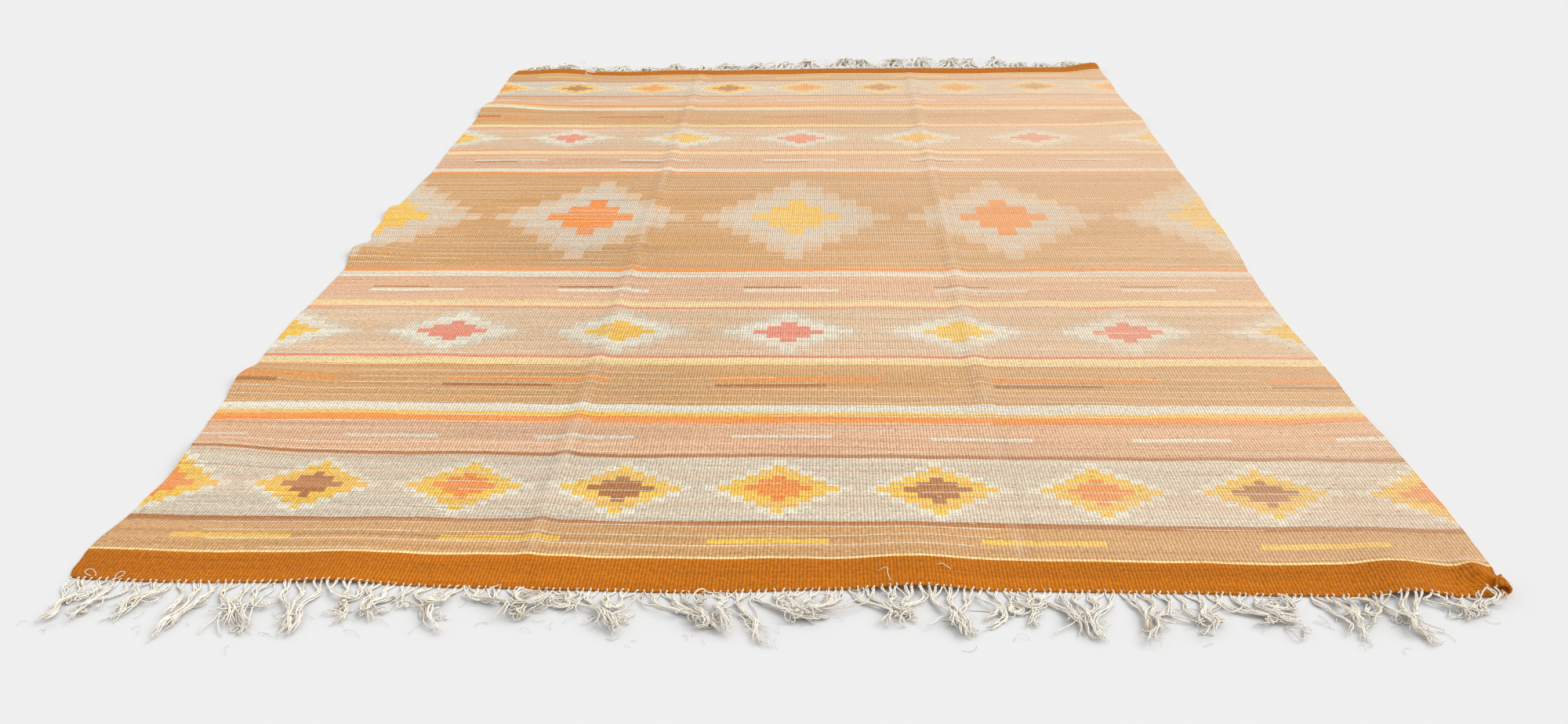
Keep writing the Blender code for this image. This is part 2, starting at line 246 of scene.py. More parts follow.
# Clumps of yarn, from left to right: where the roots centre and how wide they spread, where the tip lies, how
# far it reaches from the cloth, how far it bows sideways, how high it heaps, and what share of its yarns curl
Clump = namedtuple("Clump", "root spread tip reach bow heap curl")
NEAR_CLUMPS = (
    Clump(-0.970, 0.040, -0.985, 0.112, 0.004, 0.004, 0.2),
    Clump(-0.924, 0.032, -0.943, 0.108, -0.004, 0.006, 0.1),
    Clump(-0.863, 0.046, -0.893, 0.094, -0.003, 0.006, 0.2),
    Clump(-0.804, 0.058, -0.822, 0.130, 0.008, 0.006, 0.1),
    Clump(-0.735, 0.066, -0.684, 0.136, -0.010, 0.008, 0.1),
    Clump(-0.658, 0.048, -0.645, 0.134, 0.008, 0.007, 0.2),
    Clump(-0.596, 0.044, -0.580, 0.098, 0.006, 0.006, 0.4),
    Clump(-0.534, 0.048, -0.540, 0.092, -0.008, 0.010, 0.7),
    Clump(-0.458, 0.052, -0.436, 0.108, -0.014, 0.005, 0.5),
    Clump(-0.364, 0.104, -0.336, 0.092, 0.010, 0.015, 0.6),
    Clump(-0.286, 0.028, -0.284, 0.074, 0.010, 0.005, 0.4),
    Clump(-0.224, 0.066, -0.184, 0.110, -0.012, 0.010, 0.5),
    Clump(-0.119, 0.102, -0.058, 0.114, 0.010, 0.014, 0.4),
    Clump(-0.040, 0.026, 0.008, 0.126, -0.006, 0.004, 0.1),
    Clump(0.036, 0.098, 0.066, 0.108, -0.014, 0.016, 0.8),
    Clump(0.160, 0.086, 0.172, 0.098, 0.008, 0.010, 0.7),
    Clump(0.248, 0.054, 0.268, 0.116, -0.008, 0.007, 0.2),
    Clump(0.306, 0.032, 0.312, 0.106, 0.004, 0.005, 0.3),
    Clump(0.352, 0.030, 0.346, 0.084, 0.006, 0.004, 0.3),
    Clump(0.422, 0.062, 0.436, 0.120, -0.010, 0.007, 0.2),
    Clump(0.512, 0.050, 0.494, 0.126, 0.008, 0.005, 0.1),
    Clump(0.576, 0.042, 0.562, 0.120, 0.012, 0.005, 0.1),
    Clump(0.662, 0.084, 0.694, 0.104, -0.010, 0.012, 0.6),
    Clump(0.777, 0.064, 0.768, 0.100, 0.012, 0.009, 0.5),
    Clump(0.854, 0.052, 0.862, 0.108, -0.010, 0.013, 0.8),
    Clump(0.930, 0.054, 0.934, 0.060, 0.006, 0.004, 0.3),
)
FAR_CLUMPS = (
    Clump(-0.930, 0.070, -0.902, 0.066, 0.006, 0.006, 0.4),
    Clump(-0.835, 0.086, -0.842, 0.100, -0.008, 0.008, 0.4),
    Clump(-0.738, 0.062, -0.724, 0.060, 0.004, 0.004, 0.4),
    Clump(-0.645, 0.076, -0.626, 0.076, -0.006, 0.005, 0.4),
    Clump(-0.555, 0.062, -0.562, 0.060, 0.006, 0.004, 0.4),
    Clump(-0.462, 0.078, -0.444, 0.078, -0.004, 0.006, 0.4),
    Clump(-0.368, 0.066, -0.354, 0.060, 0.004, 0.005, 0.4),
    Clump(-0.274, 0.078, -0.282, 0.094, 0.008, 0.007, 0.4),
    Clump(-0.180, 0.066, -0.164, 0.104, -0.006, 0.008, 0.5),
    Clump(-0.090, 0.068, -0.084, 0.116, 0.006, 0.010, 0.5),
    Clump(0.008, 0.080, 0.032, 0.128, -0.008, 0.012, 0.6),
    Clump(0.114, 0.086, 0.132, 0.142, 0.010, 0.016, 0.6),
    Clump(0.208, 0.066, 0.202, 0.124, -0.008, 0.014, 0.6),
    Clump(0.302, 0.080, 0.304, 0.138, 0.010, 0.018, 0.7),
    Clump(0.398, 0.078, 0.416, 0.140, -0.010, 0.018, 0.7),
    Clump(0.492, 0.074, 0.506, 0.134, 0.008, 0.018, 0.7),
    Clump(0.574, 0.050, 0.580, 0.120, -0.004, 0.014, 0.6),
    Clump(0.654, 0.068, 0.656, 0.142, 0.010, 0.012, 0.4),
    Clump(0.742, 0.062, 0.750, 0.082, -0.006, 0.005, 0.4),
    Clump(0.822, 0.062, 0.806, 0.066, 0.006, 0.004, 0.4),
    Clump(0.900, 0.060, 0.916, 0.086, -0.006, 0.005, 0.4),
)


def make_camera():
    """The camera at the height, tilt and lens that its view of the four corners gives."""
    forward = Vector((
        -math.sin(CAMERA_YAW) * math.cos(CAMERA_PITCH),
        math.cos(CAMERA_YAW) * math.cos(CAMERA_PITCH),
        -math.sin(CAMERA_PITCH),
    ))
    level = Vector((math.cos(CAMERA_YAW), math.sin(CAMERA_YAW), 0))
    upright = level.cross(forward)
    right = math.cos(CAMERA_ROLL) * level + math.sin(CAMERA_ROLL) * upright
    up = -math.sin(CAMERA_ROLL) * level + math.cos(CAMERA_ROLL) * upright
    data = bpy.data.cameras.new("camera")
    data.lens = CAMERA_LENS
    data.sensor_width = SENSOR_WIDTH
    camera = bpy.data.objects.new("camera", data)
    bpy.context.scene.collection.objects.link(camera)
    matrix = Matrix((right, up, -forward)).transposed().to_4x4()
    matrix.translation = Vector(CAMERA_PLACE)
    camera.matrix_world = matrix
    bpy.context.scene.camera = camera


def eased(share):
    """0 to 1 with a level start and finish, for arrays."""
    share = np.clip(share, 0.0, 1.0)
    return share * share * (3 - 2 * share)


def mixed(start, end, share):
    return start + (end - start) * share


def read_table(rows, place_name, value_name, place):
    """The values at an array of places, eased between the rows of a table on either side."""
    places = np.array([getattr(row, place_name) for row in rows])
    values = np.array([getattr(row, value_name) for row in rows])
    place = np.clip(place, places[0], places[-1])
    after = np.clip(np.searchsorted(places, place), 1, len(places) - 1)
    share = (place - places[after - 1]) / (places[after] - places[after - 1])
    return mixed(values[after - 1], values[after], eased(share))


def fold_height(fold, x, y):
    """What one fold adds to the height of the cloth at points of the flat cut."""
    from_crest, from_centre = x - fold.x, y - fold.y
    if fold.runs == "across":
        from_crest, from_centre = from_centre, from_crest
    aside = np.clip(np.abs(from_crest) / (fold.width / 2), 0, 1)
    half_length = fold.length / 2
    falling = (np.abs(from_centre) / half_length - fold.level) / (1 - fold.level)
    across_crest = np.cos(math.pi / 2 * aside) ** 2
    along_crest = np.cos(math.pi / 2 * np.clip(falling, 0, 1)) ** 2
    return fold.height * across_crest * along_crest


def cloth_points(x, y):
    """Where points of the flat cut lie on the underside of the cloth: an array with a row for each."""
    on_right = x > 0
    on_far = y > 0
    side_shift = np.where(
        on_right,
        read_table(SIDE_WANDERS, "along", "right", y),
        read_table(SIDE_WANDERS, "along", "left", y),
    ) * np.abs(2 * x / CLOTH_WIDTH) ** SIDE_WANDER_POWER
    end_shift = np.where(
        on_far,
        read_table(END_WANDERS, "across", "far", x),
        read_table(END_WANDERS, "across", "near", x),
    ) * np.abs(2 * y / CLOTH_LENGTH) ** END_WANDER_POWER
    height = sum(fold_height(fold, x, y) for fold in FOLDS)
    return np.stack([
        x + np.where(on_right, 1, -1) * side_shift,
        y + np.where(on_far, 1, -1) * end_shift,
        height,
    ], axis=-1)


def softened(x, y, under):
    """Rounds the four corners and gives the selvedges the small bumps of the turning wefts."""
    past_across = np.clip((np.abs(x) - CLOTH_WIDTH / 2) / CORNER_SIZE + 1, 0, 1)
    past_along = np.clip((np.abs(y) - CLOTH_LENGTH / 2) / CORNER_SIZE + 1, 0, 1)
    pulled_in = CORNER_PULLED_IN * past_across * past_along
    bumps = np.array([noise.noise(Vector((place * SELVEDGE_BUMPS_A_METRE, 3.0, 1.0))) for place in y])
    under[:, 0] -= np.sign(x) * (pulled_in + SELVEDGE_BUMP * bumps * (past_across > 0.5))
    under[:, 1] -= np.sign(y) * pulled_in
    return under


def rolled_corner(x, y, under):
    """The underside and the top of the cloth once its near right corner is rolled up."""
    over = under + np.array([0, 0, CLOTH_THICKNESS])
    weight = eased((ROLL_STARTS_ALONG - y) / (ROLL_STARTS_ALONG - ROLL_FULL_ALONG))
    near_corner = (weight > 0) & (x > ROLL_DRAWN_FROM)
    drawn = weight * eased((x - ROLL_DRAWN_FROM) / (ROLL_AXIS - ROLL_DRAWN_FROM))
    lowered = under[:, 2] * (1 - ROLL_LOWERS * drawn)
    past_axis = np.maximum(x - ROLL_AXIS, 0)
    angle = weight * past_axis / ROLL_RADIUS
    radius = ROLL_RADIUS * (1 - ROLL_TIGHTENS * np.clip(angle / (2 * math.pi), 0, 1))
    flat_part = past_axis * (1 - weight)
    centre_across = np.minimum(x, ROLL_AXIS) + ROLL_DRAWN_OUT * weight * drawn + flat_part
    centre_up = lowered + ROLL_RADIUS + CLOTH_THICKNESS
    shift = under[:, 0] - x
    for surface, depth in ((under, CLOTH_THICKNESS), (over, 0.0)):
        across = shift + centre_across + (radius + depth) * np.sin(angle)
        up = centre_up - (radius + depth) * np.cos(angle)
        surface[:, 0] = np.where(near_corner, across, surface[:, 0])
        surface[:, 2] = np.where(near_corner, up, surface[:, 2])
    return under, over


def ripple(x, y):
    """Slight puckers that the weave's uneven tension leaves, never below the floor."""
    broad = noise.noise(Vector((x * 3.1, y * 5.3, 2.0)))
    fine = noise.noise(Vector((x * 9.0, y * 23.0, 7.0)))
    return BROAD_RIPPLE * max(0.0, broad) + FINE_RIPPLE * max(0.0, fine)


class Num:
    """A number in a shader: a socket that takes part in sums as Python's own numbers do."""

    def __init__(self, graph, socket):
        self.graph = graph
        self.socket = socket

    def __add__(self, other):
        return self.graph.math("ADD", self, other)

    def __sub__(self, other):
        return self.graph.math("SUBTRACT", self, other)

    def __mul__(self, other):
        return self.graph.math("MULTIPLY", self, other)

    def __truediv__(self, other):
        return self.graph.math("DIVIDE", self, other)

    def __rsub__(self, other):
        return self.graph.math("SUBTRACT", other, self)

    def __lt__(self, other):
        return self.graph.math("LESS_THAN", self, other)

    def __gt__(self, other):
        return self.graph.math("GREATER_THAN", self, other)

    __radd__ = __add__
    __rmul__ = __mul__


class Graph:
    """A new material and short calls for its nodes."""

    def __init__(self, name):
        self.material = bpy.data.materials.new(name)
        self.material.use_nodes = True
        self.tree = self.material.node_tree
        self.shader = self.tree.nodes["Principled BSDF"]

    def put(self, value, socket):
        """Sets or links an input."""
        if isinstance(value, Num):
            value = value.socket
        if isinstance(value, bpy.types.NodeSocket):
            self.tree.links.new(value, socket)
        elif isinstance(value, tuple) and len(value) == 3 and socket.type == "RGBA":
            socket.default_value = (*value, 1.0)
        else:
            socket.default_value = value

    def math(self, operation, *values):
        node = self.tree.nodes.new("ShaderNodeMath")
        node.operation = operation
        for value, socket in zip(values, node.inputs):
            self.put(value, socket)
        return Num(self, node.outputs[0])

    def between(self, value, low, high):
        """The number, kept between two others."""
        return self.math("MINIMUM", self.math("MAXIMUM", value, low), high)

    def surface(self, settings):
        """Sets whole-surface numbers of the shader by name."""
        for name, value in settings.items():
            self.shader.inputs[name].default_value = value

    def uv_place(self, layer):
        """The two numbers of a UV layer."""
        node = self.tree.nodes.new("ShaderNodeUVMap")
        node.uv_map = layer
        parts = self.tree.nodes.new("ShaderNodeSeparateXYZ")
        self.tree.links.new(node.outputs[0], parts.inputs[0])
        return Num(self, parts.outputs[0]), Num(self, parts.outputs[1])

    def noise(self, x, y, detail=2.0, roughness=0.5):
        """Noise from 0 to 1 over a plane that is already scaled."""
        place = self.tree.nodes.new("ShaderNodeCombineXYZ")
        self.put(x, place.inputs[0])
        self.put(y, place.inputs[1])
        node = self.tree.nodes.new("ShaderNodeTexNoise")
        node.noise_dimensions = "2D"
        self.tree.links.new(place.outputs[0], node.inputs["Vector"])
        node.inputs["Scale"].default_value = 1.0
        node.inputs["Detail"].default_value = detail
        node.inputs["Roughness"].default_value = roughness
        return Num(self, node.outputs[0])

    def mix(self, share, first, second):
        """A colour between two."""
        node = self.tree.nodes.new("ShaderNodeMix")
        node.data_type = "RGBA"
        self.put(share, node.inputs[0])
        self.put(first, node.inputs[6])
        self.put(second, node.inputs[7])
        return node.outputs[2]

    def brightened(self, colour, factor):
        """The colour times a number."""
        node = self.tree.nodes.new("ShaderNodeVectorMath")
        node.operation = "SCALE"
        self.put(colour, node.inputs[0])
        self.put(factor, node.inputs["Scale"])
        return node.outputs[0]

    def bands(self, place, stops):
        """Colours in level bands: each stop is where its colour starts, from 0 to 1."""
        node = self.tree.nodes.new("ShaderNodeValToRGB")
        ramp = node.color_ramp
        ramp.interpolation = "CONSTANT"
        while len(ramp.elements) < len(stops):
            ramp.elements.new(1.0)
        for element, (start, colour) in zip(ramp.elements, stops):
            element.position = start
            element.color = (*colour, 1.0)
        self.put(place, node.inputs[0])
        return node.outputs[0]

    def bump(self, height, distance, normal=None):
        node = self.tree.nodes.new("ShaderNodeBump")
        node.inputs["Strength"].default_value = 1.0
        node.inputs["Distance"].default_value = distance
        self.put(height, node.inputs["Height"])
        if normal is not None:
            self.put(normal, node.inputs["Normal"])
        return node.outputs[0]


# Bands of the design from an end of the rug to its middle: where each starts, and its dye
Band = namedtuple("Band", "start dye")
BANDS = (
    Band(0.000, RUST),
    Band(0.064, PALE_YELLOW),
    Band(0.074, TAN),
    Band(0.150, BROWN),
    Band(0.160, GREIGE),
    Band(0.345, BROWN),
    Band(0.355, PEACH),
    Band(0.462, ORANGE),
    Band(0.480, YELLOW),
    Band(0.496, IVORY),
    Band(0.524, TAN),
    Band(0.680, PALE_YELLOW),
    Band(0.706, PINK),
    Band(0.718, SAND),
    Band(0.935, PINK),
    Band(0.947, PALE_YELLOW),
    Band(0.973, PEACH),
    Band(1.100, IVORY),
    Band(1.132, ORANGE),
    Band(1.150, TAN),
)

# Rows of stepped lozenges: the middle of the row and half its height, both along the rug, the width of one
# lozenge, and the dyes from the outside in
LozengeRow = namedtuple("LozengeRow", "middle half width outer ring core other_core")
LOZENGE_ROWS = (
    LozengeRow(0.2525, 0.0925, 0.250, IVORY, YELLOW, ORANGE, BROWN),
    LozengeRow(0.8265, 0.1085, 0.3333, GREIGE, IVORY, PINK, YELLOW),
    LozengeRow(1.480, 0.300, 0.500, SAND, GREIGE, YELLOW, ORANGE),
)
LOZENGE_STEPS = 6
RING_AT = 0.70
CORE_AT = 0.34

# Rows of short dashes: the middle of the row, half its height, the pitch of the dashes, their share of the
# pitch, and their dye
DashRow = namedtuple("DashRow", "middle half pitch share dye")
DASH_ROWS = (
    DashRow(0.112, 0.006, 0.400, 0.45, YELLOW),
    DashRow(0.410, 0.005, 0.3333, 0.50, IVORY),
    DashRow(0.600, 0.007, 0.500, 0.40, BROWN),
    DashRow(0.622, 0.005, 0.500, 0.60, ORANGE),
    DashRow(1.030, 0.006, 0.400, 0.50, IVORY),
    DashRow(1.048, 0.004, 0.400, 0.30, BROWN),
)


# Uneven dyeing as noise: how often it changes in a metre across and along the rug, where it is read, its
# detail, and how much it changes the shade
Unevenness = namedtuple("Unevenness", "across along moved detail strength")
UNEVEN_DYEING = (
    # long thin strata
    Unevenness(0.9, 60.0, 0.0, 3.0, 0.46),
    # broad patches
    Unevenness(1.6, 2.2, 30.0, 3.0, 0.24),
    # single wefts
    Unevenness(7.0, 420.0, 0.0, 1.0, 0.34),
    # flecks in the wool
    Unevenness(170.0, 190.0, 0.0, 2.0, 0.80),
)


def lozenges(graph, colour, across, inward, row):
    """One row of stepped lozenges laid over a colour."""
    half_width = row.width / 2
    step_across = half_width / LOZENGE_STEPS
    step_along = row.half / LOZENGE_STEPS
    from_side = graph.math("ABSOLUTE", graph.math("PINGPONG", across + row.width * 16, half_width))
    from_middle = graph.math("ABSOLUTE", inward - row.middle)
    steps_across = graph.math("FLOOR", (from_side + step_across / 2) / step_across)
    steps_along = graph.math("FLOOR", (from_middle + step_along / 2) / step_along)
    size = steps_across * (1 / LOZENGE_STEPS) + steps_along * (1 / LOZENGE_STEPS)
    number = graph.math("FLOOR", (across + half_width) / row.width + 64)
    odd = graph.math("MODULO", number, 2.0)
    core = graph.mix(odd, row.core, row.other_core)
    inside = from_middle < row.half
    colour = graph.mix((size < 0.99) * inside, colour, row.outer)
    colour = graph.mix((size < RING_AT) * inside, colour, row.ring)
    return graph.mix((size < CORE_AT) * inside, colour, core)


def dashes(graph, colour, across, inward, row):
    """One row of short dashes laid over a colour, with a half-pitch shift between its two halves."""
    from_middle = graph.math("ABSOLUTE", inward - row.middle)
    place = graph.math("FRACT", across / row.pitch + 16.25)
    shown = (place < row.share) * (from_middle < row.half)
    return graph.mix(shown, colour, row.dye)


def wool_material():
    """Weft-faced weave in bands, lozenges and dashes, unevenly dyed, with ribs over the warps and slubs."""
    graph = Graph("woven_wool")
    across, along = graph.uv_place("flat_cut")
    rib = graph.math("FLOOR", across / RIB_PITCH + 1000)
    rib_middle = (rib - 999.5) * RIB_PITCH

    # wefts don't lie dead straight, and a dye changes only between two ribs and two wefts
    bow = (graph.noise(across * 1.7, along * 1.1 + 9.0) - 0.5) * 0.020
    wave = (graph.noise(across * 9.0, along * 2.0) - 0.5) * 0.007
    place = along + bow + wave
    inward = graph.math("ABSOLUTE", place) * -1.0 + CLOTH_LENGTH / 2
    inward = graph.math("SNAP", inward, WEFT_STEP)

    half = CLOTH_LENGTH / 2
    stops = [(band.start / half, band.dye) for band in BANDS]
    colour = graph.bands(inward / half, stops)
    for row in LOZENGE_ROWS:
        colour = lozenges(graph, colour, rib_middle, inward, row)
    for row in DASH_ROWS:
        colour = dashes(graph, colour, rib_middle, inward, row)

    # thin pale and dark picks that come and go, unevenly spaced
    drift = graph.noise(across * 1.6, along * 7.0 + 50.0) * 0.020
    plain = inward > CLEAR_END
    pale_pick = graph.math("FRACT", (along + drift) / PALE_PICK_PITCH + 64)
    comes = graph.noise(across * 1.3 + 4.0, along * 7.0)
    colour = graph.mix((pale_pick < PALE_PICK_SHARE) * (comes > 0.49) * plain * 0.70, colour, IVORY)
    dark_pick = graph.math("FRACT", (along - drift) / DARK_PICK_PITCH + 64)
    returns = graph.noise(across * 1.6 + 24.0, along * 9.0)
    colour = graph.mix((dark_pick < DARK_PICK_SHARE) * (returns > 0.50) * plain * 0.45, colour, BROWN)

    # uneven dyeing, and a thread of another dye lot here and there
    shade = 1.0
    for row in UNEVEN_DYEING:
        spot = graph.noise(across * row.across + row.moved, along * row.along, row.detail) - 0.5
        shade = spot * row.strength + shade
    colour = graph.brightened(colour, shade)
    other_lot = graph.noise(across * 0.7 + 60.0, along * 36.0 + 7.0, 2.0)
    faded = graph.between((other_lot - 0.50) * 4.0, 0.0, 0.55)
    colour = graph.mix(faded * plain, colour, graph.mix(0.45, colour, PEACH))

    # the right and the far side painted paler: painted light, as from a lamp high on the right
    painted_light_share = graph.between(across * 0.30 + along * 0.14 + 0.15, 0.0, 0.54)
    colour = graph.mix(painted_light_share * plain, colour, PAINTED_LIGHT_TINT)

    # the two creases from folding: a pale crest, partly wear and partly painted highlight, with painted shade
    # along one side
    patchy = graph.math("MAXIMUM", (graph.noise(across * 3.0 + 80.0, along * 5.0) - 0.36) * 2.2, 0.0)
    for crease in CREASES:
        from_crease = across + bow * 0.5 - crease
        aside = graph.math("ABSOLUTE", from_crease)
        # pale crest: partly wear, partly painted highlight
        worn_and_highlit = graph.math("MAXIMUM", 1.0 - aside / CREASE_HALF_WIDTH, 0.0)
        colour = graph.mix(worn_and_highlit * patchy * plain * 0.42, colour, WORN_AND_HIGHLIT)
        # painted shade along the right side of each crest
        shaded_aside = graph.math("ABSOLUTE", from_crease - CREASE_HALF_WIDTH)
        shaded = graph.math("MAXIMUM", 1.0 - shaded_aside / CREASE_HALF_WIDTH, 0.0)
        colour = graph.brightened(colour, shaded * patchy * -0.16 + 1.0)

    # ribs over the warps, each a string of beads that stand half a bead apart on the next rib
    uneven = graph.noise(across * 75.0, along * 110.0, 1.0) - 0.5
    across_rib = graph.math("FRACT", (across + uneven * 0.0022) / RIB_PITCH + 1000)
    roundness = graph.math("SINE", across_rib * math.pi)
    rib_height = graph.math("POWER", roundness, 0.6)
    odd = graph.math("MODULO", rib, 2.0)
    bead_turn = (along + uneven * 0.0020) * (math.pi / BEAD_PITCH) + odd * (math.pi / 2)
    bead = graph.math("ABSOLUTE", graph.math("SINE", bead_turn))
    relief = rib_height * (bead * 0.35 + 0.65)
    # painted shade: the colour is darkened in the grooves between the ribs and between the beads, as well as
    # bumped
    painted_groove_shade = relief * 0.44 + 0.69
    colour = graph.brightened(colour, painted_groove_shade)

    # dark slubs and pale lint
    slub = graph.noise(across * 90.0, along * 210.0, 0.0)
    colour = graph.mix((slub > 0.82) * 0.40, colour, SLUB)
    lint = graph.noise(across * 70.0 + 11.0, along * 190.0 + 5.0, 0.0)
    colour = graph.mix((lint > 0.87) * plain * 0.40, colour, LINT)

    graph.put(colour, graph.shader.inputs["Base Color"])
    graph.surface({
        "Roughness": 0.93,
        "Specular IOR Level": 0.08,
        "Sheen Weight": 0.04,
        "Sheen Roughness": 0.6,
    })
    pucker = graph.noise(across * 38.0, along * 55.0, 2.0)
    soft = graph.bump(pucker, 0.0020)
    graph.put(graph.bump(relief, 0.0011, soft), graph.shader.inputs["Normal"])
    return graph.material


def cotton_material():
    """Undyed plied cotton: two plies twisted round each other with painted shade between them, stained in
    places, and with painted shade on the underside of each yarn.
    """
    graph = Graph("warp_cotton")
    around, along = graph.uv_place("ply")
    turn = graph.math("FRACT", along / PLY_PITCH + around * 2.0 + 64.0)
    ply = graph.math("SINE", turn * math.pi)
    grime = graph.noise(around * 0.4, along * 9.0, 3.0)
    stained = graph.between((grime - 0.56) * 4.0, 0.0, 0.8)
    colour = graph.mix(stained, COTTON, STAIN)
    # painted shade: the underside of each yarn is darker, which gives dark lines between yarns
    upward = graph.math("SINE", around * (2 * math.pi))
    colour = graph.brightened(colour, graph.math("MINIMUM", upward * 0.60 + 0.88, 1.0))
    # painted shade in the groove between the two plies
    colour = graph.brightened(colour, ply * 0.20 + 0.86)
    graph.put(colour, graph.shader.inputs["Base Color"])
    graph.surface({"Roughness": 0.9, "Specular IOR Level": 0.15, "Sheen Weight": 0.15})
    graph.put(graph.bump(ply, 0.0004), graph.shader.inputs["Normal"])
    return graph.material


def floor_material():
    graph = Graph("pale_floor")
    graph.surface({"Base Color": (*FLOOR, 1.0), "Roughness": 0.9, "Specular IOR Level": 0.0})
    return graph.material


# Loose threads on the cloth: where each starts, which way it heads (radians from +X), its length, how far it
# turns over that length (radians), and how high its middle stands
Thread = namedtuple("Thread", "across along heading length bend rise")
NEAR_THREADS = (
    Thread(-0.930, -1.478, 1.9, 0.060, -6.5, 0.002),
    Thread(-0.962, -1.474, 1.0, 0.045, 5.2, 0.002),
    Thread(0.165, -1.476, 1.5, 0.034, 1.1, 0.010),
    Thread(0.232, -1.436, 0.2, 0.022, -1.4, 0.002),
)
FAR_THREADS = (
    Thread(-0.800, 1.500, 0.4, 0.050, 1.5, 0.012),
    Thread(0.940, 1.490, 2.9, 0.060, -2.0, 0.006),
)


def add_piece(name, points, faces, corner_places, layer, material, slot):
    """A mesh from arrays, with the place of each corner in a UV layer, riding on the only body."""
    mesh = bpy.data.meshes.new(name)
    mesh.vertices.add(len(points))
    mesh.vertices.foreach_set("co", np.asarray(points, np.float32).ravel())
    faces = np.asarray(faces, np.int32)
    mesh.loops.add(faces.size)
    mesh.loops.foreach_set("vertex_index", faces.ravel())
    mesh.polygons.add(len(faces))
    mesh.polygons.foreach_set("loop_start", np.arange(len(faces), dtype=np.int32) * faces.shape[1])
    mesh.uv_layers.new(name=layer).data.foreach_set("uv", np.asarray(corner_places, np.float32).ravel())
    mesh.update(calc_edges=True)
    mesh.validate()
    mesh.shade_smooth()
    mesh.materials.append(material)
    piece = bpy.data.objects.new(name, mesh)
    bpy.context.scene.collection.objects.link(piece)
    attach(piece, "root")
    return piece


def edge_lines(size, cell):
    """Even grid lines from side to side, with a few more close to each edge."""
    half = size / 2
    close = [half - step for step in EDGE_LINES]
    count = round((size - 2 * EDGE_LINES[-1]) / cell)
    inner = np.linspace(-close[-1], close[-1], count + 1)
    outer = np.array([half, *close[:-1]])
    return np.concatenate([-outer, inner, outer[::-1]])


def make_cloth(material):
    """One closed sheet on the solid's folds, with rounded edges."""
    columns = edge_lines(CLOTH_WIDTH, CELL_ACROSS)
    rows = edge_lines(CLOTH_LENGTH, CELL_ALONG)
    x, y = (grid.ravel() for grid in np.meshgrid(columns, rows))
    under = cloth_points(x, y)
    under[:, 2] += [ripple(a, b) for a, b in zip(x, y)]
    under = softened(x, y, under)
    from_edge = np.minimum(CLOTH_WIDTH / 2 - np.abs(x), CLOTH_LENGTH / 2 - np.abs(y))
    short = np.clip(1 - from_edge / EDGE_ROUNDING, 0, 1)
    rounding = EDGE_ROUNDING * (1 - np.sqrt(1 - short**2))
    under, over = rolled_corner(x, y, under)
    over[:, 2] -= rounding
    under[:, 2] += rounding * 0.5

    across, along = len(columns), len(rows)
    index = np.arange(across * along).reshape(along, across)
    corners = [index[:-1, :-1], index[:-1, 1:], index[1:, 1:], index[1:, :-1]]
    cell = np.stack(corners, axis=-1).reshape(-1, 4)
    upper = cell + across * along
    ring = np.concatenate([index[0, :-1], index[:-1, -1], index[-1, :0:-1], index[:0:-1, 0]])
    following = np.roll(ring, -1)
    rim = np.stack([ring, following, following + across * along, ring + across * along], axis=-1)
    faces = np.concatenate([cell[:, ::-1], upper, rim])
    flat = np.stack([x, y], axis=-1)
    flat = np.concatenate([flat, flat])
    points = np.concatenate([under, over])
    cloth = add_piece("cloth", points, faces, flat[faces.ravel()], "flat_cut", material, "woven_wool")
    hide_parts("rug_cloth")
    return cloth


def tubes(paths, radii, sides):
    """(points, faces, corner places) of closed tubes along paths, with a radius at each point of a path."""
    all_points = []
    all_faces = []
    all_places = []
    start = 0
    turn = 2 * math.pi * np.arange(sides) / sides
    for number, (path, radius) in enumerate(zip(paths, radii)):
        steps = np.diff(path, axis=0)
        lengths = np.linalg.norm(steps, axis=1)
        travelled = np.concatenate([[0], np.cumsum(lengths)]) + number * 0.37
        tangent = np.gradient(path, axis=0)
        tangent /= np.linalg.norm(tangent, axis=1)[:, None]
        path, tangent, travelled = (
            np.concatenate([values[:1], values, values[-1:]]) for values in (path, tangent, travelled)
        )
        radius = np.concatenate([radius[:1] * CLOSED_END, radius, radius[-1:] * CLOSED_END])
        side = np.cross(tangent, [0, 0, 1])
        side /= np.maximum(np.linalg.norm(side, axis=1), 1e-6)[:, None]
        over = np.cross(side, tangent)
        ring = (
            path[:, None, :]
            + radius[:, None, None] * np.cos(turn)[None, :, None] * side[:, None, :]
            + radius[:, None, None] * np.sin(turn)[None, :, None] * over[:, None, :]
        )
        count = len(path)
        index = start + np.arange(count * sides).reshape(count, sides)
        beside = np.roll(index, -1, axis=1)
        faces = np.stack([index[:-1], beside[:-1], beside[1:], index[1:]], axis=-1).reshape(-1, 4)
        places = np.empty((count - 1, sides, 4, 2))
        places[..., 0, 0] = places[..., 3, 0] = np.arange(sides) / sides
        places[..., 1, 0] = places[..., 2, 0] = (np.arange(sides) + 1) / sides
        places[..., 0, 1] = places[..., 1, 1] = travelled[:-1, None]
        places[..., 2, 1] = places[..., 3, 1] = travelled[1:, None]
        all_points.append(ring.reshape(-1, 3))
        all_faces.append(faces)
        all_places.append(places.reshape(-1, 2))
        start += count * sides
    return np.concatenate(all_points), np.concatenate(all_faces), np.concatenate(all_places)


def kept_within(x, limit):
    return min(max(x, -limit), limit)


def edge_point(x, side):
    """(x, y, z) on the top of the cloth's edge at an end."""
    point = cloth_points(np.array([x]), np.array([side * CLOTH_LENGTH / 2]))[0]
    return point[0], point[1], point[2] + CLOTH_THICKNESS


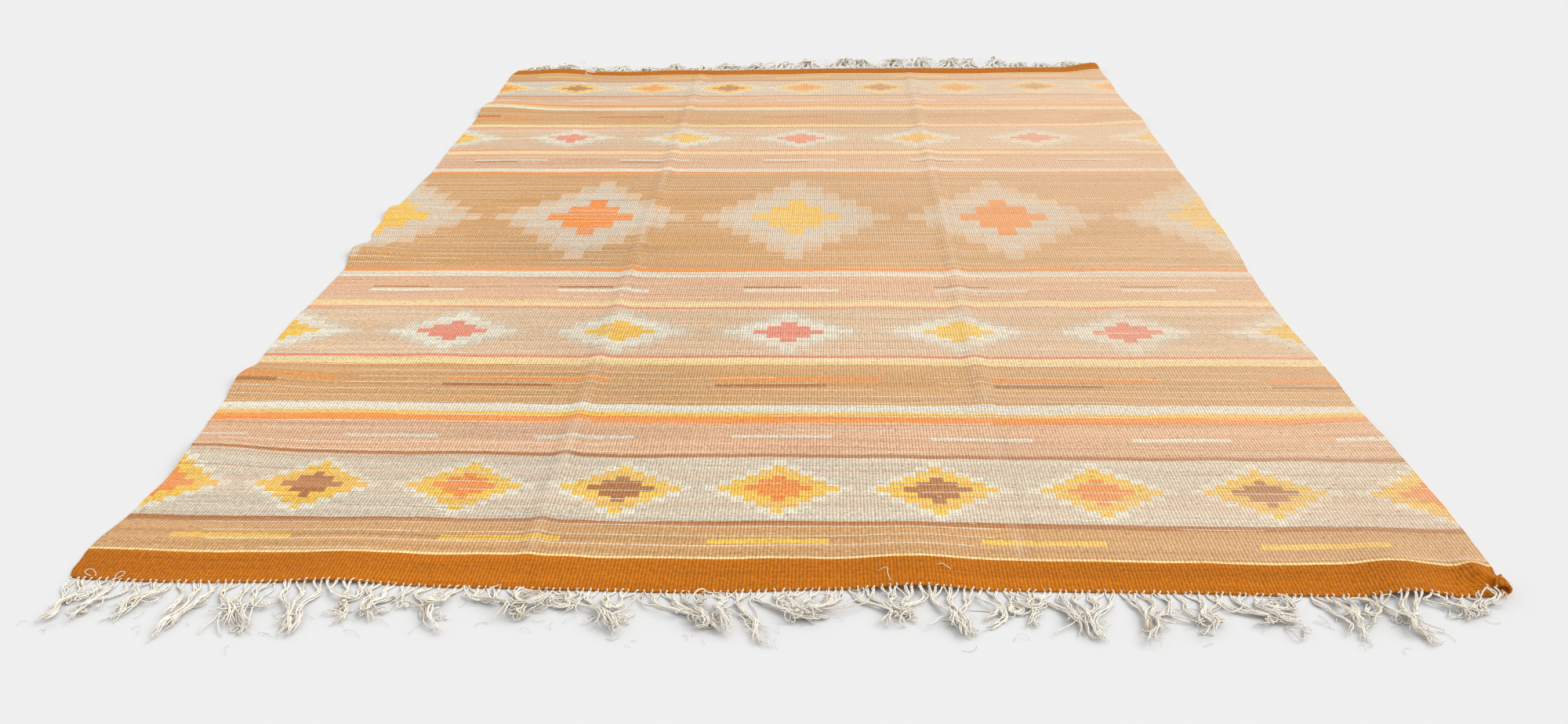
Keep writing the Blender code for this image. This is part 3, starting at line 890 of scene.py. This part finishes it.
# A strand within its clump: where it gathers its yarns, how far it lies aside in the neck, its share of the
# clump's reach, how fully it joins the neck, its arch and where that crests, its level in the heap, its sway
# (size, waves and phase), and its curl (whether it curls, its turns, radius and hand)
Strand = namedtuple(
    "Strand",
    "clump root aside reach joins arch crest level sway waves phase curls turns radius hand",
)


def strand_of(strands, x):
    """The strand that a yarn rooted at x joins."""
    def distance(strand):
        from_clump = abs(x - strand.clump.root) / strand.clump.spread
        return round(from_clump, 3), abs(x - strand.root)
    return min(strands, key=distance)


def make_strands(clumps, chance):
    """The strands of a row of clumps: each gathers the yarns of two or three neighbouring knots."""
    strands = []
    for clump in clumps:
        beside = math.ceil(clump.spread / 2 / STRAND_PITCH)
        for number in range(-beside, beside + 1):
            strands.append(Strand(
                clump=clump,
                root=clump.root + number * STRAND_PITCH,
                aside=number * STRAND_PITCH * NECK_SHARE,
                reach=chance.uniform(0.64, 0.92) if number else chance.uniform(0.94, 1.04),
                joins=chance.uniform(0.82, 1.0),
                arch=clump.heap * chance.uniform(0.25, 1.0),
                crest=chance.uniform(0.40, 0.75),
                level=chance.choice((0.0, 0.0022, 0.0044)),
                sway=chance.uniform(0.0015, 0.0048),
                waves=chance.uniform(1.2, 2.6),
                phase=chance.random(),
                curls=chance.random() < clump.curl,
                turns=chance.uniform(0.35, 1.15),
                radius=chance.uniform(0.006, 0.013),
                hand=chance.choice((-1, 1)),
            ))
    return strands


def wiggle(chance, way, size, turns):
    """A wavy offset along a yarn."""
    phase = chance.uniform(0, 2 * math.pi)
    second = chance.uniform(0, 2 * math.pi)
    slow = np.sin(2 * math.pi * turns * way + phase)
    fast = np.sin(2 * math.pi * turns * 2.3 * way + second)
    return size * (slow + 0.5 * fast)


def curled(travelled, turns, radius, hand):
    """What a curl over the last half of a yarn adds to its (across, outward) places."""
    angle = 2 * math.pi * turns * np.clip((travelled - 0.5) / 0.5, 0, 1)
    return hand * radius * (1 - np.cos(angle)), -0.7 * radius * (angle - np.sin(angle))


def yarn_path(strand, root, side, chance, count, thickness):
    """The middle of one yarn: out of the cloth, down to the floor, into its strand and on with its clump."""
    clump = strand.clump
    x, y, z = edge_point(root, side)
    strays = chance.random() < STRAY_SHARE
    reach = clump.reach * strand.reach * chance.uniform(0.86, 1.0)
    travelled = np.linspace(0, 1, count)
    way = travelled * reach / clump.reach

    in_strand = eased(way / STRAND_GATHERED_BY)
    in_neck = eased((way - NECK_STARTS) / (NECK_AT - NECK_STARTS)) * (0.4 if strays else strand.joins)
    axis = mixed(clump.root, clump.tip, way) + clump.bow * np.sin(math.pi * way) + strand.aside
    gathered = mixed(x, mixed(x, strand.root, 0.85), in_strand)
    gathered = gathered + clump.bow * 0.6 * in_strand * (1 - in_neck)
    sway = strand.sway * np.sin(2 * math.pi * (way * strand.waves + strand.phase)) * in_strand
    centre = mixed(gathered, axis, in_neck) + sway

    twist = chance.uniform(0, 2 * math.pi) + 2 * math.pi * way * strand.hand * 0.8
    outness = math.sqrt(chance.random())
    frayed = 1 + 1.6 * eased((travelled - 0.8) / 0.2)
    across = centre + STRAND_HALF_WIDTH * outness * np.cos(twist) * in_strand * frayed
    across += wiggle(chance, way, chance.uniform(0.0004, 0.0015), chance.uniform(2.5, 5.0)) * in_strand
    outward = reach * travelled + 0.0006 + wiggle(chance, way, 0.0010, 3.5) * in_strand
    up = STRAND_HALF_HEIGHT * (1 + outness * np.sin(twist)) * in_strand + strand.level * in_neck
    up += strand.arch * np.exp(-(((way - strand.crest) / 0.22) ** 2)) * in_strand

    if strand.curls:
        curl_across, curl_outward = curled(travelled, strand.turns, strand.radius, strand.hand)
        across += curl_across
        outward += curl_outward
    if strays:
        drift = chance.uniform(-0.040, 0.040)
        turns = chance.uniform(0.3, 1.3)
        curl_across, curl_outward = curled(travelled, turns, 0.009, chance.choice((-1, 1)))
        across += drift * eased((way - 0.3) / 0.7) + curl_across
        outward += curl_outward
    landed = eased(outward / (0.006 + 1.3 * z))
    up = mixed(z - CLOTH_THICKNESS / 2, up + thickness, landed)
    return np.stack([across, y + side * outward, np.maximum(up, thickness)], axis=-1)


def hook_path(root, side, chance):
    """One knot: a slanting hook of yarn from the top of the cloth, over its edge, and down in front of it."""
    x, y, z = edge_point(root, side)
    share = np.linspace(0, 1, HOOK_POINTS)
    slant = chance.uniform(-0.0012, 0.0056)
    inside = chance.uniform(0.0010, 0.0044)
    tall = chance.uniform(0.0008, 0.0018)
    across = x + slant * (0.5 - share) + 0.0010 * np.sin(math.pi * share)
    outward = -inside + (inside + 0.0016) * np.sin(math.pi / 2 * np.minimum(share * 1.5, 1.0))
    up = z + tall * np.sin(math.pi * np.clip(share * 1.25, 0, 1)) - 0.0032 * eased((share - 0.6) / 0.4)
    return np.stack([across, y + side * outward, np.maximum(up, HOOK_RADIUS)], axis=-1)


def nest_path(clump, side, chance, thickness):
    """One tangled yarn that wanders in loops over the heap of a clump."""
    way = chance.uniform(0.42, 0.74)
    x = mixed(clump.root, clump.tip, way) + clump.bow * math.sin(math.pi * way)
    x += chance.uniform(-0.24, 0.24) * clump.spread
    _, y, _ = edge_point(kept_within(x, LAST_TANGLE), side)
    travelled = np.linspace(0, 1, NEST_POINTS)
    turns = chance.uniform(0.8, 2.0) * chance.choice((-1, 1))
    angle = chance.uniform(0, 2 * math.pi) + 2 * math.pi * turns * travelled
    angle += 0.7 * np.sin(2 * math.pi * (travelled * 2.3 + chance.random()))
    step = chance.uniform(0.045, 0.080) / (NEST_POINTS - 1)
    across = x + np.cumsum(np.cos(angle)) * step
    outward = clump.reach * way + np.cumsum(np.sin(angle)) * step
    outward = 0.010 + np.abs(outward - 0.010)
    outward = np.minimum(outward, clump.reach * 1.04)
    up = 0.002 + clump.heap * (0.55 + 0.45 * np.sin(2 * math.pi * (travelled * 1.5 + chance.random())))
    up = np.maximum(up * chance.uniform(0.5, 1.1), thickness)
    return np.stack([across, y + side * outward, up], axis=-1)


def lint_path(clump, side, chance):
    """One fine stray fibre near a clump."""
    way = chance.uniform(0.1, 1.05)
    x = mixed(clump.root, clump.tip, way) + chance.uniform(-0.6, 0.6) * clump.spread
    _, y, _ = edge_point(kept_within(x, LAST_TANGLE), side)
    outward = max(0.006, clump.reach * way)
    heading = chance.uniform(0, 2 * math.pi)
    bend = chance.uniform(-3.5, 3.5)
    length = chance.uniform(0.008, 0.030)
    travelled = np.linspace(0, 1, FIBRE_POINTS)
    angle = heading + bend * travelled
    step = length / (FIBRE_POINTS - 1)
    across = x + np.cumsum(np.cos(angle)) * step
    along = y + side * np.maximum(outward + np.cumsum(np.sin(angle)) * step, 0.004)
    up = 0.0006 + chance.uniform(0.0, 0.006) * np.sin(math.pi * travelled)
    return np.stack([across, along, up], axis=-1)


def thread_path(thread, side, chance):
    """One loose thread that lies on the cloth or stands over its edge."""
    travelled = np.linspace(0, 1, THREAD_POINTS)
    angle = thread.heading + thread.bend * travelled + 0.5 * np.sin(travelled * 9 + chance.random())
    step = thread.length / (THREAD_POINTS - 1)
    across = thread.across + np.cumsum(np.cos(angle)) * step
    along = thread.along + np.cumsum(np.sin(angle)) * step
    over_cloth = np.clip(along, -CLOTH_LENGTH / 2, CLOTH_LENGTH / 2)
    ground = cloth_points(across, over_cloth)[:, 2] + CLOTH_THICKNESS
    up = ground + 0.0018 + thread.rise * np.sin(math.pi * travelled)
    return np.stack([across, along, up], axis=-1)


# An end of the rug: which way it faces along Y, its tables, the solid that its yarns stand for, and for a yarn
# the points along it, the sides around it and its radius
End = namedtuple("End", "name side clumps threads node points sides radius")
ENDS = (
    End("near", -1, NEAR_CLUMPS, NEAR_THREADS, "fringe_near", 33, 5, NEAR_YARN_RADIUS),
    End("far", 1, FAR_CLUMPS, FAR_THREADS, "fringe_far", 28, 4, FAR_YARN_RADIUS),
)


def make_yarns(name, paths, radii, sides, material):
    """One piece of many yarns."""
    return add_piece(name, *tubes(paths, radii, sides), "ply", material, "warp_yarn")


def even_radii(paths, radius):
    return [np.full(len(path), radius) for path in paths]


def make_fringe(end, material):
    """The yarns, knots, tangles and lint of one end."""
    chance = random.Random(end.name)
    strands = make_strands(end.clumps, chance)
    first = -CLOTH_WIDTH / 2 + KNOT_PITCH * 0.6
    knots = int((CLOTH_WIDTH - KNOT_PITCH) / KNOT_PITCH) + 1
    taper = 1 - 0.6 * eased((np.linspace(0, 1, end.points) - 0.85) / 0.15)
    paths = []
    radii = []
    hooks = []
    for number in range(knots):
        root = first + KNOT_PITCH * number + chance.uniform(-0.0020, 0.0020)
        for _ in range(YARNS_A_KNOT):
            place = kept_within(root + chance.uniform(-0.0022, 0.0022), LAST_YARN)
            strand = strand_of(strands, place)
            paths.append(yarn_path(strand, place, end.side, chance, end.points, end.radius))
            radii.append(end.radius * chance.uniform(0.85, 1.15) * taper)
        hooks.append(hook_path(kept_within(root, LAST_KNOT), end.side, chance))
    threads = [thread_path(thread, end.side, chance) for thread in end.threads]
    nests = [
        nest_path(clump, end.side, chance, end.radius)
        for clump in end.clumps
        for _ in range(round(clump.heap * NEST_YARNS_A_METRE))
    ]
    fibres = [
        lint_path(clump, end.side, chance)
        for clump in end.clumps
        for _ in range(FIBRES_A_CLUMP)
    ]
    paths += threads
    radii += even_radii(threads, THREAD_RADIUS)
    yarns = make_yarns(f"yarns_{end.name}", paths, radii, end.sides, material)
    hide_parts(end.node)
    nest_radii = even_radii(nests, end.radius * TANGLED_SHARE)
    return [
        yarns,
        make_yarns(f"knots_{end.name}", hooks, even_radii(hooks, HOOK_RADIUS), HOOK_SIDES, material),
        make_yarns(f"nests_{end.name}", nests, nest_radii, end.sides, material),
        make_yarns(f"lint_{end.name}", fibres, even_radii(fibres, FIBRE_RADIUS), FIBRE_SIDES, material),
    ]


def make_floor():
    bpy.ops.mesh.primitive_plane_add(size=FLOOR_SIZE, location=(0, 0, -FLOOR_BELOW))
    floor = bpy.context.object
    floor.name = "floor"
    floor.data.materials.append(floor_material())


def make_light():
    """A wide, far soft box high on the right behind the rug, and an even pale surround."""
    sun = bpy.data.lights.new("softbox", "SUN")
    sun.energy = SOFTBOX_POWER
    sun.angle = SOFTBOX_ANGLE
    light = bpy.data.objects.new("softbox", sun)
    light.rotation_euler = Vector(SOFTBOX_FROM).to_track_quat("Z", "Y").to_euler()
    bpy.context.scene.collection.objects.link(light)
    world = bpy.data.worlds.new("studio")
    world.use_nodes = True
    background = world.node_tree.nodes["Background"]
    background.inputs["Color"].default_value = (1.0, 1.0, 1.0, 1.0)
    background.inputs["Strength"].default_value = SURROUND_STRENGTH
    bpy.context.scene.world = world
    bpy.context.scene.view_settings.view_transform = "Standard"


make_camera()
make_floor()
make_light()
wool = wool_material()
cotton = cotton_material()
cloth_piece = make_cloth(wool)
fringe_pieces = [piece for end in ENDS for piece in make_fringe(end, cotton)]
